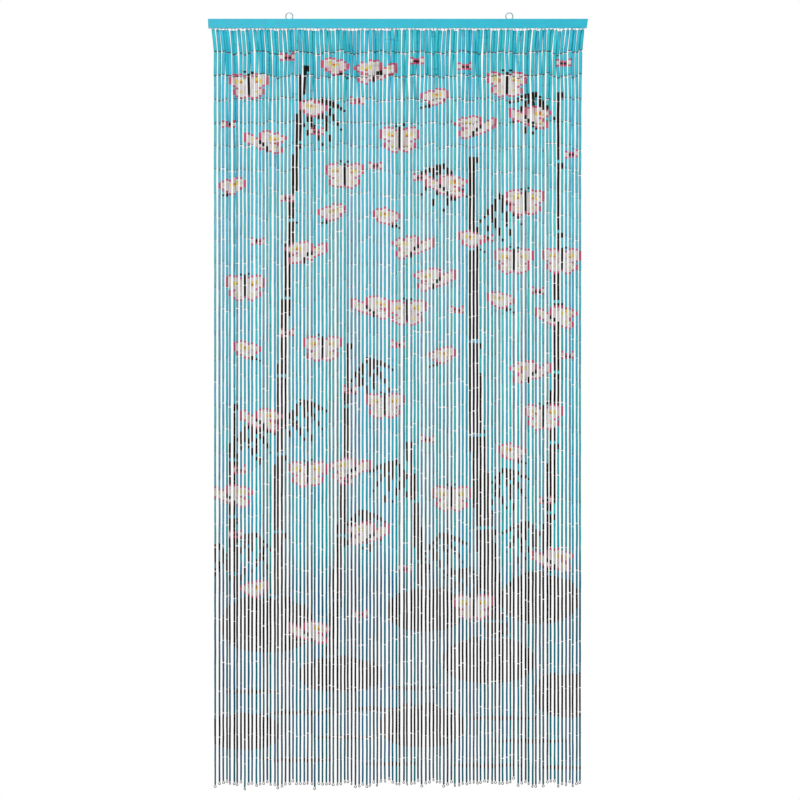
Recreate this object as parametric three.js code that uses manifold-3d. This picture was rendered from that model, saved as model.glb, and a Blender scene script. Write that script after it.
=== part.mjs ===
// A bamboo fly screen curtain: a painted wooden rail with two wire hanging loops in its top edge, and a
// hundred strands of thin bamboo tubes that hang from it in two close rows and end in small wire rings.
// Millimetres, +Z up, +X along the rail, the front facing -Y. The origin is where wall hooks bear in the
// loops, above the middle of the rail.

import * as THREE from "three";
import { mergeVertices } from "three/addons/utils/BufferGeometryUtils.js";
import Module from "manifold-3d";

const wasm = await Module();
wasm.setup();

// Driving sizes of the rail and its two loops
const RAIL_LENGTH = 1000;
const RAIL_HEIGHT = 25;
const RAIL_DEPTH = 18;
const RAIL_EDGE = 0.8;
const RAIL_END_SLANT = { left: 1.2, right: 3.5 };
const LOOP_WIRE = 2.4;
const LOOP_RADIUS = 9.3;
const LOOP_CENTRE_ABOVE_RAIL = 6.7;
const LOOP_LEG_DEPTH = 10;
const LOOP_LEG_STRAIGHT = 8;
const LOOP_ARC_STEPS = 12;
const LOOP_STEPS = 30;
const LOOP_ROUNDNESS = 4;
const LOOP_PLACES = { left: -286, right: 293 };
const DRILL_CLEARANCE = 0.3;
const DRILL_SIDES = 12;

// Driving sizes of the strands
const STRANDS = 100;
const STRAND_SIDES = 4;
const TUBES = 32;
const HOOK_PITCH = 9.82;
const STRAND_PITCH = 9.7;
const ROW_OFFSET = 4.2;
const TUBE_LENGTH = 58.6;
const TUBE_LENGTH_SPREAD = 1.4;
const TUBE_SLIP = 5;
const JOINT_GAP = 3.3;
const TUBE_DIAMETER_TOP = 9;
const TUBE_DIAMETER_BOTTOM = 4.7;
const TUBE_DIAMETER_SPREAD = 0.3;
const TUBE_THINNING = 0.34;
const TUBE_SHOULDER = 0.8;
const HOOK_DROP_LEAST = 2.6;
const HOOK_DROP_SPREAD = 4.4;
const DRIFT = 1.2;
const HOOK_SWAY = 1.7;
const SWAY = 0.3;
const TOP_SWAY = 3;
const TOP_SWAY_TUBES = 2.2;
const WAVE_STRANDS = 11;
const WIRE_RADIUS = 0.9;
const NOTCHED_JOINTS = [1, 2, 3];
const BENT_JOINTS = [8, 16, 24];
const RING_NECK = 1.2;
const RING_DIAMETER = 7.5;
const RING_FLATNESS = 0.3;

// The strip that the strands of one row are fused to, under the rail
const STRIP_THICKNESS = 1.5;
const STRIP_WIDTH = 3;
const STRIP_LENGTH = 980;
const SEAT_GAP = 0.3;

const RAIL_TOP = -(LOOP_CENTRE_ABOVE_RAIL + LOOP_RADIUS - LOOP_WIRE / 2);
const RAIL_BOTTOM = RAIL_TOP - RAIL_HEIGHT;
const STRIP_BOTTOM = RAIL_BOTTOM - SEAT_GAP - STRIP_THICKNESS;
const TUBE_PITCH = TUBE_LENGTH + JOINT_GAP;

const railPaint = new THREE.MeshStandardMaterial({ color: "#3fbcd2", roughness: 0.45, metalness: 0 });
const bambooPaint = new THREE.MeshStandardMaterial({ color: "#3fa6bb", roughness: 0.5, metalness: 0 });
const wire = new THREE.MeshStandardMaterial({ color: "#8d9496", roughness: 0.35, metalness: 1 });

// A closed geometry as a solid for cutting and joining
function solidOf(geometry) {
  const bare = geometry.clone();
  bare.deleteAttribute("normal");
  bare.deleteAttribute("uv");
  const merged = mergeVertices(bare, 1e-4);
  return new wasm.Manifold(
    new wasm.Mesh({
      numProp: 3,
      vertProperties: new Float32Array(merged.attributes.position.array),
      triVerts: new Uint32Array(merged.index.array),
    }),
  );
}

// A solid as a geometry for a mesh
function geometryOf(solid) {
  const { vertProperties, triVerts } = solid.getMesh();
  const geometry = new THREE.BufferGeometry();
  geometry.setAttribute("position", new THREE.BufferAttribute(vertProperties, 3));
  geometry.setIndex(new THREE.BufferAttribute(triVerts, 1));
  geometry.computeVertexNormals();
  return geometry;
}

// A steady random number from 0 to 1 for one joint of one strand; kind keeps the different uses apart
function chance(strand, joint, kind) {
  const mixed = Math.sin(strand * 12.9898 + joint * 78.233 + kind * 37.719) * 43758.5453;
  return mixed - Math.floor(mixed);
}

// The same number, spread evenly to both sides of zero
function spread(strand, joint, kind) {
  return 2 * chance(strand, joint, kind) - 1;
}

// From -1 to 1: half of it swells and sinks along the rail as neighbours do together, half is the strand's own
function straying(strand, joint, kind) {
  const wave = Math.sin(2 * Math.PI * (strand / WAVE_STRANDS + chance(0, joint, kind)));
  return (wave + spread(strand, joint, kind)) / 2;
}

// The middles of a strand's joints from its hook down, TUBES + 1 of them, each with x and z
function strandJoints(strand) {
  const place = strand - (STRANDS - 1) / 2;
  const drift = DRIFT * spread(strand, 0, 1);
  const drop = HOOK_DROP_LEAST + HOOK_DROP_SPREAD * chance(strand, 0, 2) ** 2;
  let hung = RAIL_BOTTOM - drop + JOINT_GAP / 2;
  const joints = [{ x: place * HOOK_PITCH + drift + HOOK_SWAY * straying(strand, 0, 3), z: hung }];
  for (let joint = 1; joint <= TUBES; joint++) {
    const sway = SWAY + TOP_SWAY * Math.exp((1 - joint) / TOP_SWAY_TUBES);
    hung -= TUBE_PITCH + TUBE_LENGTH_SPREAD * spread(strand, joint, 4);
    joints.push({
      x: place * STRAND_PITCH + drift + sway * straying(strand, joint, 3),
      z: hung + TUBE_SLIP * straying(strand, joint, 6),
    });
  }
  return joints;
}

// The radius of one tube: thicker bamboo is used at the top
function tubeRadius(strand, tube) {
  const share = tube / (TUBES - 1);
  const usual = TUBE_DIAMETER_TOP + (TUBE_DIAMETER_BOTTOM - TUBE_DIAMETER_TOP) * share ** TUBE_THINNING;
  return (usual + TUBE_DIAMETER_SPREAD * spread(strand, tube, 5)) / 2;
}

// The strand's outline, radius and height, from its root in the strip to the foot of its ring
function strandOutline(strand, joints) {
  const half = JOINT_GAP / 2;
  const outline = [
    [0, STRIP_BOTTOM + STRIP_THICKNESS / 2],
    [WIRE_RADIUS, STRIP_BOTTOM + STRIP_THICKNESS / 2],
    [WIRE_RADIUS, joints[0].z - half],
    [tubeRadius(strand, 0), joints[0].z - half - TUBE_SHOULDER],
  ];
  for (const joint of NOTCHED_JOINTS) {
    outline.push(
      [tubeRadius(strand, joint - 1), joints[joint].z + half],
      [WIRE_RADIUS, joints[joint].z],
      [tubeRadius(strand, joint), joints[joint].z - half],
    );
  }
  for (const joint of BENT_JOINTS) {
    outline.push([tubeRadius(strand, joint), joints[joint].z]);
  }
  const end = joints[TUBES].z + half;
  outline.push(
    [tubeRadius(strand, TUBES - 1), end],
    [WIRE_RADIUS, end - RING_NECK],
    [RING_DIAMETER / 2, end - RING_NECK - RING_DIAMETER / 2],
    [0, end - RING_NECK - RING_DIAMETER],
  );
  return outline.map(([radius, height]) => new THREE.Vector2(radius, height));
}

// Where the strand's line is at a height, in straight stretches between its joints
function lineAt(joints, z) {
  const below = Math.max(1, Math.min(TUBES, joints.findIndex((joint) => joint.z <= z)));
  const last = z < joints[TUBES].z ? TUBES : below;
  const from = joints[last - 1];
  const to = joints[last];
  const share = THREE.MathUtils.clamp((from.z - z) / (from.z - to.z), 0, 1);
  return THREE.MathUtils.lerp(from.x, to.x, share);
}

// One strand of four-sided tubes on its own wandering line, with its ring flat at the foot
function strandSolid(strand, rowOffset) {
  const joints = strandJoints(strand);
  const outline = strandOutline(strand, joints).reverse();
  const geometry = new THREE.LatheGeometry(outline, STRAND_SIDES).rotateX(Math.PI / 2);
  const ringTop = joints[TUBES].z - RING_NECK;
  const points = geometry.attributes.position;
  for (let i = 0; i < points.count; i++) {
    const z = points.getZ(i);
    const flat = z < ringTop ? RING_FLATNESS : 1;
    points.setXYZ(i, points.getX(i) + lineAt(joints, z), points.getY(i) * flat + rowOffset, z);
  }
  return solidOf(geometry);
}

// Every second strand, from the first given, fused at its root to the row's own strip
function strandRow(name, first, rowOffset) {
  const strip = new THREE.BoxGeometry(STRIP_LENGTH, STRIP_WIDTH, STRIP_THICKNESS);
  strip.translate(0, rowOffset, STRIP_BOTTOM + STRIP_THICKNESS / 2);
  const solids = [solidOf(strip)];
  for (let strand = first; strand < STRANDS; strand += 2) {
    solids.push(strandSolid(strand, rowOffset));
  }
  const row = new THREE.Mesh(geometryOf(wasm.Manifold.union(solids)), bambooPaint);
  row.name = name;
  return row;
}

// The points of a wire loop in its own plane: up one leg, round the ring and down the other
function loopPoints() {
  const reach = Math.asin(LOOP_CENTRE_ABOVE_RAIL / LOOP_RADIUS);
  const legX = LOOP_RADIUS * Math.cos(reach);
  const legBend = LOOP_LEG_STRAIGHT - LOOP_LEG_DEPTH;
  const points = [new THREE.Vector3(-legX, 0, -LOOP_LEG_DEPTH), new THREE.Vector3(-legX, 0, legBend)];
  for (let step = 0; step <= LOOP_ARC_STEPS; step++) {
    const angle = Math.PI + reach - ((Math.PI + 2 * reach) * step) / LOOP_ARC_STEPS;
    const z = LOOP_CENTRE_ABOVE_RAIL + LOOP_RADIUS * Math.sin(angle);
    points.push(new THREE.Vector3(LOOP_RADIUS * Math.cos(angle), 0, z));
  }
  points.push(new THREE.Vector3(legX, 0, legBend), new THREE.Vector3(legX, 0, -LOOP_LEG_DEPTH));
  return points;
}

// One hanging loop, bent from round wire, with its legs in the rail
function hangingLoop(side) {
  const section = new THREE.Shape().absarc(0, 0, LOOP_WIRE / 2, 0, 2 * Math.PI);
  const path = new THREE.CatmullRomCurve3(loopPoints());
  const bend = { steps: LOOP_STEPS, curveSegments: LOOP_ROUNDNESS, extrudePath: path };
  const geometry = new THREE.ExtrudeGeometry(section, bend);
  const loop = new THREE.Mesh(geometry, wire);
  loop.name = "loop_" + side;
  loop.position.set(LOOP_PLACES[side], 0, RAIL_TOP);
  return loop;
}

// The drilled holes for both legs of a loop, a little wider and deeper than the wire
function legHoles(side) {
  const legX = LOOP_RADIUS * Math.cos(Math.asin(LOOP_CENTRE_ABOVE_RAIL / LOOP_RADIUS));
  const depth = LOOP_LEG_DEPTH + DRILL_CLEARANCE;
  const radius = LOOP_WIRE / 2 + DRILL_CLEARANCE;
  return [-legX, legX].map((x) => {
    const drill = new THREE.CylinderGeometry(radius, radius, 2 * depth, DRILL_SIDES).rotateX(Math.PI / 2);
    return solidOf(drill.translate(LOOP_PLACES[side] + x, 0, RAIL_TOP));
  });
}

// The wooden rail, its long edges eased and its ends sawn a little out of square, drilled for the loops
function rail() {
  const y = RAIL_DEPTH / 2;
  const z = RAIL_HEIGHT / 2;
  const section = new THREE.Shape([
    new THREE.Vector2(-y + RAIL_EDGE, -z),
    new THREE.Vector2(y - RAIL_EDGE, -z),
    new THREE.Vector2(y, -z + RAIL_EDGE),
    new THREE.Vector2(y, z - RAIL_EDGE),
    new THREE.Vector2(y - RAIL_EDGE, z),
    new THREE.Vector2(-y + RAIL_EDGE, z),
    new THREE.Vector2(-y, z - RAIL_EDGE),
    new THREE.Vector2(-y, -z + RAIL_EDGE),
  ]);
  const along = new THREE.Matrix4().makeBasis(
    new THREE.Vector3(0, 1, 0),
    new THREE.Vector3(0, 0, 1),
    new THREE.Vector3(1, 0, 0),
  );
  const batten = new THREE.ExtrudeGeometry(section, { depth: RAIL_LENGTH, bevelEnabled: false });
  batten.applyMatrix4(along).translate(-RAIL_LENGTH / 2, 0, (RAIL_TOP + RAIL_BOTTOM) / 2);
  const points = batten.attributes.position;
  for (let i = 0; i < points.count; i++) {
    const share = (RAIL_TOP - points.getZ(i)) / RAIL_HEIGHT;
    const x = points.getX(i);
    points.setX(i, x < 0 ? x + RAIL_END_SLANT.left * share : x - RAIL_END_SLANT.right * share);
  }
  let solid = solidOf(batten);
  for (const hole of Object.keys(LOOP_PLACES).flatMap(legHoles)) {
    solid = solid.subtract(hole);
  }
  const mesh = new THREE.Mesh(geometryOf(solid), railPaint);
  mesh.name = "rail";
  return mesh;
}

const curtain = new THREE.Group();
curtain.add(rail(), hangingLoop("left"), hangingLoop("right"));
curtain.add(strandRow("strands_front", 0, -ROW_OFFSET), strandRow("strands_back", 1, ROW_OFFSET));

export default curtain;
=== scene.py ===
"""Bamboo fly screen curtain: painted tubes on wire, hung from a wooden rail with two wire loops.

Every length is in metres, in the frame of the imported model: +X along the rail, +Z up, the front facing -Y.
"""

import math
from collections import namedtuple
from itertools import accumulate

import bpy
from mathutils import Matrix, Vector


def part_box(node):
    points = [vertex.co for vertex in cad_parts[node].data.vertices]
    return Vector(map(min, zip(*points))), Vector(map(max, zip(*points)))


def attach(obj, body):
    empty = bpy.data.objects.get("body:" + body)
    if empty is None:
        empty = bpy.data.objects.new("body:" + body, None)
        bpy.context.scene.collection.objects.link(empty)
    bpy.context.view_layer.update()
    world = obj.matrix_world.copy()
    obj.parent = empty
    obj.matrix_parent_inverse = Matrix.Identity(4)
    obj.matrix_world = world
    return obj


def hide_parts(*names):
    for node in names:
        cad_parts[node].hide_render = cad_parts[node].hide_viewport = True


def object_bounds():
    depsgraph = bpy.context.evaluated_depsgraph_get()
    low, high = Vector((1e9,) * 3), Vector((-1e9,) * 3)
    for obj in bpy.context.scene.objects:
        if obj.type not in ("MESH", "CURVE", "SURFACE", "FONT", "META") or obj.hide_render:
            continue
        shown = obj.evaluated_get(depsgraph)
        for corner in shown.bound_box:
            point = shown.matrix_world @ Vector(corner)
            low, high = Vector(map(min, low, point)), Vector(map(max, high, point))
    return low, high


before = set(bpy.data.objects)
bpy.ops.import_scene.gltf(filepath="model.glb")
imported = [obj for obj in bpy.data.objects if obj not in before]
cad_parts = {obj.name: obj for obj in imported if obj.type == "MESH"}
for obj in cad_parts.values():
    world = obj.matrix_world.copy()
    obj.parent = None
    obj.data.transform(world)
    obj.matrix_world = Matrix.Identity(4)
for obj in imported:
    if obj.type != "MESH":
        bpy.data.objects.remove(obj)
cad_low, cad_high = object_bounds()

bl_info = {
    "name": "Bamboo fly screen curtain",
    "version": (1, 0, 0),
    "blender": (4, 5, 0),
    "location": "3D View > Sidebar > Curtain",
    "description": "Makes a bamboo fly screen curtain on its rail, with its painted design, wires and stage",
    "category": "Add Mesh",
}

MM = 0.001

# The rail and its loops, as packed
RAIL_LOW, RAIL_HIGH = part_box("rail")
RAIL_BOTTOM = RAIL_LOW.z
LOOP_BOXES = {node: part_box(node) for node in ("loop_left", "loop_right")}

# How many strands hang in how many rows, and the first strand of each row
STRANDS = 100
TUBES = 32
ROWS = {"strands_front": 0, "strands_back": 1}
ROW_OFFSET = 4.2 * MM

# How the strands hang at the rail and wander below it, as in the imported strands
HOOK_PITCH = 9.82 * MM
HOOK_DROP_LEAST = 2.6 * MM
HOOK_DROP_SPREAD = 4.4 * MM
HOOK_SWAY = 1.7 * MM
STRAND_PITCH = 9.7 * MM
DRIFT = 1.2 * MM
SWAY = 0.3 * MM
TOP_SWAY = 3 * MM
TOP_SWAY_TUBES = 2.2
WAVE_STRANDS = 11

# How the tubes follow each other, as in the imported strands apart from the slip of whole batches
TUBE_PITCH = 61.9 * MM
TUBE_LENGTH_SPREAD = 1.4 * MM
TUBE_SLIP = 5 * MM
TUBE_THINNING = 0.34
JOINT_GAP = 3.3 * MM
BATCH_SLIP = 27 * MM
BATCH_STRANDS = 3

# The gaps that show, as shares of the joint gap: the least and the spread, at the top joints and below them
CLOSE_JOINTS = 3
CLOSE_GAP, CLOSE_GAP_SPREAD = 0.15, 0.6
LEAST_GAP, GAP_SPREAD = 0.1, 0.75

# Tubes: a plain one has few rings along it, and a painted one a ring at each edge of its paint
PLAIN_BANDS = 3
PAINTED_BANDS = 7
PIECES_PER_ROW = 3
TUBE_RIM_SHARE = 0.84
TUBE_DISH = 2.0
LUMPS_PER_METRE = 90.0
TUBE_SEED = 3.0

# Where a tube lies in its cell of the map: its sides across and down, and its cut ends down
TUBE_CELL_SHAPE = 3.2
MAP_ACROSS = (0.05, 0.95)
MAP_SIDES = (0.15, 0.98)
MAP_ENDS = (0.01, 0.12)

# The paint is satin, and painted shade darkens a tube's ends over this length, where the joints are shaded
PAINT_GLOSS = 0.16
END_SHADE_LENGTH = 2.6 * MM

# Wires: how deep a staple stands, how far staples and rings turn, and how a hanging loop bends
STAPLE_DEPTH = 1.1 * MM
STAPLE_TURN = math.radians(25)
RING_TILT = math.radians(14)
RING_YAW = math.radians(62)
LOOP_LEG_BEND = 2 * MM
LOOP_STEPS = 36

# The bends of the wires: their straight necks, how far round they go, their steps, and the wire's faces
LINK_NECK, LINK_SWEEP, LINK_STEPS, LINK_SIDES = 0.3 * MM, math.radians(350), 8, 4
HOOK_NECK, HOOK_SWEEP, HOOK_STEPS, HOOK_SIDES = 0.2 * MM, math.radians(345), 16, 6
STAPLE_SWEEP = 0.99 * math.tau
RING_SWEEP, RING_STEPS, RING_SIDES = math.radians(335), 22, 8
UNSTRETCHED = (1, 1, 1)

# How much of a tube's own tone comes from its whole strand, and how much is its own
STRAND_TONE, TUBE_TONE = 0.6, 0.4
STRAND_GREY, TUBE_GREY = 0.8, 0.2

# How fine the noises of the finishes are, per metre, and how far the grain is stretched each way
POOLS_PER_METRE = 45.0
WIRE_SPOTS_PER_METRE = 260.0
BLOTCHES_PER_METRE = 38.0
SPECKLES_PER_METRE = 40.0
RAIL_GRAIN = (9.0, 420.0, 420.0)
TUBE_GRAIN = (900.0, 900.0, 35.0)
GROWTH_RINGS = (25.0, 25.0, 120.0)

# How high the finishes stand
RAIL_RELIEF = 0.15 * MM
TUBE_RELIEF = 0.12 * MM
WIRE_RELIEF = 0.05 * MM

# The rail's paint: its gloss and streaks, its chips, and how near a long edge it is rubbed
RAIL_UNEVENNESS, RAIL_ROUGHNESS = 0.16, 0.42
RAIL_CHIPS_PER_METRE, RAIL_CHIPS = 330.0, 0.55
RAIL_RUBBED = (0.86, 0.97)

# The tubes' paint: its gloss and streaks, and its chips
TUBE_UNEVENNESS, TUBE_ROUGHNESS = 0.3, 0.5
TUBE_CHIPS_PER_METRE, TUBE_CHIPS = 620.0, 0.34

# Where the ground's colours lie between the top and the foot, as shares of the drop
GROUND_STOPS = {"ground_upper": 0.25, "ground_middle": 0.5, "ground_lower": 0.68, "ground_deep": 0.73}

# How far the ground's tones stray: how much of it already at the top, and then in lightness and greyness
TOP_STRAYING = 0.35
LIGHTNESS_STRAYING, GREYNESS_STRAYING = 0.3, 0.36
WEATHERED_LIGHTNESS, WEATHERED_DARKENING = 1.1, 0.6

# The design's paint: rosy blotches on the white, grey on the dark, and its lightness further down
BLUSH_BLOTCHES, BLUSH = (0.45, 0.7), 0.3
RUBBED_GREY = 0.45
DESIGN_DARKENING, DESIGN_STRAYING = 0.35, 0.08

# Growth rings of the bamboo: which part of their noise shows, how strongly, and how deep they are
GROWTH_SHOWN, GROWTH_COLOUR, GROWTH_DEPTH = (0.64, 0.7), 0.3, 0.6

# Painted shade at the tube ends, where the joints are shaded: how ragged it is, how strong at a top end, and
# how it fades below the first tubes
END_RAGGEDNESS = 1.5 * MM
TOP_END_STRENGTH = 0.6
END_STRENGTH, END_FADING, END_FADING_DEPTH = 0.9, 0.55, (0.08, 0.22)

# Chips in any paint: where their noise starts, how far a larger amount lowers that, and how sharp they are
CHIP_START, CHIP_LOWERING, CHIP_SHARPNESS = 0.8, 0.4, 14.0

# Tarnish: where its noise starts, how sharp it is, the roughness of clean wire and what tarnish adds to it
TARNISH_START, TARNISH_SHARPNESS = 0.35, 3.0
WIRE_ROUGHNESS, TARNISH_ROUGHNESS = 0.3, 0.35
# The ring wire's larger amount is tarnish on the foot rings; on the staples and hook eyes it is also painted
# shade under the rail
LINK_TARNISH, RING_TARNISH_AND_SHADE, LOOP_TARNISH = 1.2, 1.9, 0.4

# The floor's two tones, and plain black and white light
FLOOR_DARKER, FLOOR_LIGHTER = (0.86, 0.86, 0.86, 1.0), (0.9, 0.9, 0.9, 1.0)
NO_LIGHT, WHITE_LIGHT = (0.0, 0.0, 0.0, 1.0), (1.0, 1.0, 1.0, 1.0)

# The lights: where each one stands and its size; all but the top one point at the middle of the view
LIGHTS = {
    "key": ((-1.1, -5.0, 0.5), 1.8),
    "fill": ((2.4, -4.2, -1.2), 2.2),
    "back": ((0.3, 4.8, -0.5), 2.0),
    "top": ((0.0, -0.4, 2.2), 3.0),
}
TOP_LIGHT_TARGET = (0.0, 0.2, cad_low.z)

# The random numbers: the weights that mix them, and a number for each use, which keeps the uses apart
MIX_STRAND, MIX_JOINT, MIX_USE, MIX_SCALE = 12.9898, 78.233, 37.719, 43758.5453
(
    FOR_DRIFT,
    FOR_HOOK_DROP,
    FOR_SWAY,
    FOR_LENGTH,
    FOR_RADIUS,
    FOR_SLIP,
    FOR_BRUSH,
    FOR_STRAND_LIGHTNESS,
    FOR_TUBE_LIGHTNESS,
    FOR_STRAND_HUE,
    FOR_BEND_X,
    FOR_BEND_Y,
    FOR_TUBE_HUE,
    FOR_LINK_YAW,
    FOR_STAPLE_YAW,
    FOR_RING_TILT,
    FOR_RING_YAW,
    FOR_RING_LEAN,
    FOR_STRAND_GREYNESS,
    FOR_TUBE_GREYNESS,
    FOR_STONE,
    FOR_GAP,
    FOR_BATCH_BOW,
    FOR_BATCH_WAVE,
    FOR_OWN_BOW,
) = range(1, 26)

# The painted design: its classes of paint, and how finely it is laid out down a strand
GROUND, DARK, WHITE, ROSE, YELLOW, ORANGE = range(6)
PAINTS = 6
CHART_PAINTS = {"K": DARK, "W": WHITE, "R": ROSE, "Y": YELLOW, "O": ORANGE}
PAINT_STEP = 1.3 * MM
SHORTEST_BAND = 3.6 * MM
CHART_ROW = 5.2 * MM
BRUSH_SLIP = 1.8 * MM
CURTAIN_DROP = TUBES * TUBE_PITCH

# Its strokes: a cane's gap and ridge at each joint, twigs, leaves, stones and ripples
CANE_GAP = 7.5 * MM
CANE_RIDGE = 0.6
TWIG_THICKNESS = 5 * MM
TWIG_CURVE = 0.8
LEAF_THICKNESS = 13 * MM
LEAF_DROOP = 1.5
LEAF_POINT = 0.8
STONE_SQUARENESS = 2.4
STONE_LUMPS = 0.12
STONE_SEAM = 7 * MM
RIPPLE_THICKNESS = 12 * MM

# Canes: where their tops and feet are, their widths in strands, how far they bow, and where their joints are
Cane = namedtuple("Cane", "top_strand top foot_strand foot top_width foot_width bow joint_pitch")
CANES = (
    Cane(24, 0.09, 17, 1.56, 1.4, 3.4, -2.0, 0.205),
    Cane(70, 0.33, 77, 1.66, 2.0, 6.2, -3.0, 0.245),
    Cane(93, 0.16, 89, 1.52, 1.2, 3.0, 1.5, 0.185),
    Cane(36, 0.82, 31, 1.68, 1.2, 3.2, 1.0, 0.170),
    Cane(52, 1.08, 57, 1.58, 1.2, 3.8, 0.5, 0.160),
    Cane(5, 0.98, 6, 1.58, 1.2, 2.8, -0.8, 0.150),
)

# Twigs: the cane they grow from, counted from 0, the drop where they leave it, side, reach and rise
TWIGS = (
    (0, 0.30, 1, 6, 0.11), (0, 1.06, 1, 5, 0.08), (0, 1.40, -1, 6, 0.07), (1, 0.48, -1, 8, 0.12),
    (1, 0.55, 1, 7, 0.11), (1, 1.24, 1, 6, 0.08), (1, 1.50, -1, 6, 0.08), (2, 0.26, -1, 6, 0.09),
    (2, 1.36, -1, 5, 0.06), (3, 0.95, 1, 5, 0.08), (3, 1.34, 1, 5, 0.07), (4, 1.22, -1, 5, 0.08),
    (4, 1.40, 1, 5, 0.07), (5, 1.10, 1, 4, 0.06), (5, 1.42, -1, 4, 0.06),
)

# The leaves of a twig: how far along it each grows, its side, how many strands it reaches over, and its fall
LEAF_SPRAY = (
    (1.0, 1, 8, 0.035), (1.0, 1, 6, 0.085), (1.0, 1, 3, 0.120), (1.0, -1, 3, 0.105), (0.5, 1, 4, 0.080),
)

# Stones: the strand and drop of the middle, and half the width in strands and half the height
STONES = (
    (88, 1.500, 10, 0.066), (57, 1.530, 10, 0.056), (14, 1.570, 12, 0.072), (74, 1.665, 12, 0.058),
    (34, 1.700, 11, 0.046), (96, 1.755, 9, 0.058), (56, 1.835, 11, 0.056), (8, 1.850, 9, 0.048),
)

# Ripples on the water below the stones: the strand and drop of the middle, and half the width in strands
RIPPLES = (
    (10, 1.745, 7), (54, 1.735, 6), (95, 1.725, 5), (24, 1.800, 9), (42, 1.790, 6), (78, 1.815, 9),
    (36, 1.865, 8), (85, 1.875, 10), (22, 1.925, 9), (48, 1.935, 7), (74, 1.940, 9), (94, 1.945, 5),
)

# Butterflies, charted: one column for each strand and one row for each stroke
BUTTERFLY_SPREAD = (
    "....K.K....",
    ".RRR.K.RRR.",
    "RWWWRKRWWWR",
    "RWWWWKWWWWR",
    "RWYYWKWYYWR",
    "RWYOWKWOYWR",
    "RWWWWKWWWWR",
    ".RWWWKWWWR.",
    "..RWWKWWR..",
    ".RWWWKWWWR.",
    ".RWYWKWYWR.",
    ".RWWWKWWWR.",
    "..RWWRWWR..",
    "...RR.RR...",
)
BUTTERFLY_TURNED = (
    "....RRR.....",
    "..RRWWWR..RR",
    ".RWWWWWR.RWR",
    "RWWYYWWRRWWR",
    "RWYOYWWRWYWR",
    ".RWWWWWKWWWR",
    "..RRWWKKWWR.",
    "..RWWWKWWR..",
    ".RWYWKWWR...",
    ".RWWWKRR....",
    ".RWWRK......",
    "..RR........",
)
BUTTERFLY_RESTING = (
    "....RRR.",
    "..RRWWWR",
    ".RWWWYWR",
    "RWWYOYWR",
    "RWWWYWWR",
    "RWWWWWR.",
    ".RWWWWR.",
    "..RWWR..",
    "..KRR...",
    ".KK.....",
    "K.......",
)
MOTH = (
    "R..R",
    "WRRW",
    "WKKW",
    "RRRR",
)

# Butterflies: the chart, the strand and the drop of the middle, and whether it is mirrored
BUTTERFLIES = (
    (BUTTERFLY_SPREAD, 9, 0.150, False), (BUTTERFLY_TURNED, 44, 0.115, False),
    (BUTTERFLY_RESTING, 60, 0.185, False), (BUTTERFLY_SPREAD, 79, 0.145, False),
    (BUTTERFLY_TURNED, 86, 0.235, True), (BUTTERFLY_RESTING, 33, 0.105, True),
    (BUTTERFLY_SPREAD, 50, 0.290, False), (BUTTERFLY_TURNED, 14, 0.300, True),
    (BUTTERFLY_SPREAD, 35, 0.385, False), (BUTTERFLY_RESTING, 5, 0.420, False),
    (BUTTERFLY_TURNED, 63, 0.415, True), (BUTTERFLY_SPREAD, 84, 0.455, False),
    (BUTTERFLY_RESTING, 47, 0.500, True), (BUTTERFLY_TURNED, 25, 0.590, False),
    (BUTTERFLY_SPREAD, 94, 0.610, False), (BUTTERFLY_TURNED, 60, 0.660, False),
    (BUTTERFLY_SPREAD, 8, 0.680, False), (BUTTERFLY_RESTING, 78, 0.720, True),
    (BUTTERFLY_TURNED, 43, 0.735, True), (BUTTERFLY_SPREAD, 29, 0.840, False),
    (BUTTERFLY_RESTING, 62, 0.865, False), (BUTTERFLY_TURNED, 86, 0.905, False),
    (BUTTERFLY_SPREAD, 46, 0.990, False), (BUTTERFLY_TURNED, 13, 1.030, True),
    (BUTTERFLY_RESTING, 81, 1.120, True), (BUTTERFLY_SPREAD, 25, 1.170, False),
    (BUTTERFLY_SPREAD, 64, 1.235, False), (BUTTERFLY_TURNED, 42, 1.330, False),
    (BUTTERFLY_TURNED, 92, 1.400, True), (BUTTERFLY_RESTING, 11, 1.480, False),
    (BUTTERFLY_SPREAD, 70, 1.520, False), (BUTTERFLY_TURNED, 26, 1.590, True),
    (BUTTERFLY_TURNED, 54, 0.575, False), (BUTTERFLY_SPREAD, 81, 0.610, False),
    (BUTTERFLY_RESTING, 32, 0.490, False), (BUTTERFLY_TURNED, 93, 0.760, True),
    (BUTTERFLY_RESTING, 9, 0.850, True), (BUTTERFLY_SPREAD, 89, 1.020, False),
    (BUTTERFLY_TURNED, 37, 1.160, False), (BUTTERFLY_RESTING, 70, 0.560, True),
    (BUTTERFLY_TURNED, 71, 0.260, False), (BUTTERFLY_RESTING, 27, 0.215, True),
    (BUTTERFLY_SPREAD, 52, 0.745, False), (BUTTERFLY_TURNED, 5, 1.230, True),
)

# Moths: the strand and the drop of the middle
MOTHS = (
    (20, 0.075), (55, 0.085), (68, 0.100), (95, 0.090), (39, 0.190), (4, 0.250), (28, 0.270),
    (97, 0.330), (44, 0.360), (56, 0.390), (20, 0.445), (74, 0.550), (12, 0.560), (88, 0.690),
    (66, 0.740), (50, 0.830), (20, 0.800), (96, 0.860), (37, 0.950), (58, 1.080), (7, 1.160),
    (36, 1.190), (90, 1.240), (52, 1.420), (6, 1.330), (40, 1.540),
)


def linear(code):
    """A colour written as on a paint card, such as 3fbcd2, as linear red, green, blue and alpha."""
    channels = [int(code[i : i + 2], 16) / 255 for i in (0, 2, 4)]
    return (*(c / 12.92 if c <= 0.04045 else ((c + 0.055) / 1.055) ** 2.4 for c in channels), 1.0)


def length_property(name, description, millimetres):
    """A length that the user may change."""
    return bpy.props.FloatProperty(
        name=name, description=description, default=millimetres * MM, min=0.0, precision=5, unit="LENGTH"
    )


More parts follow.
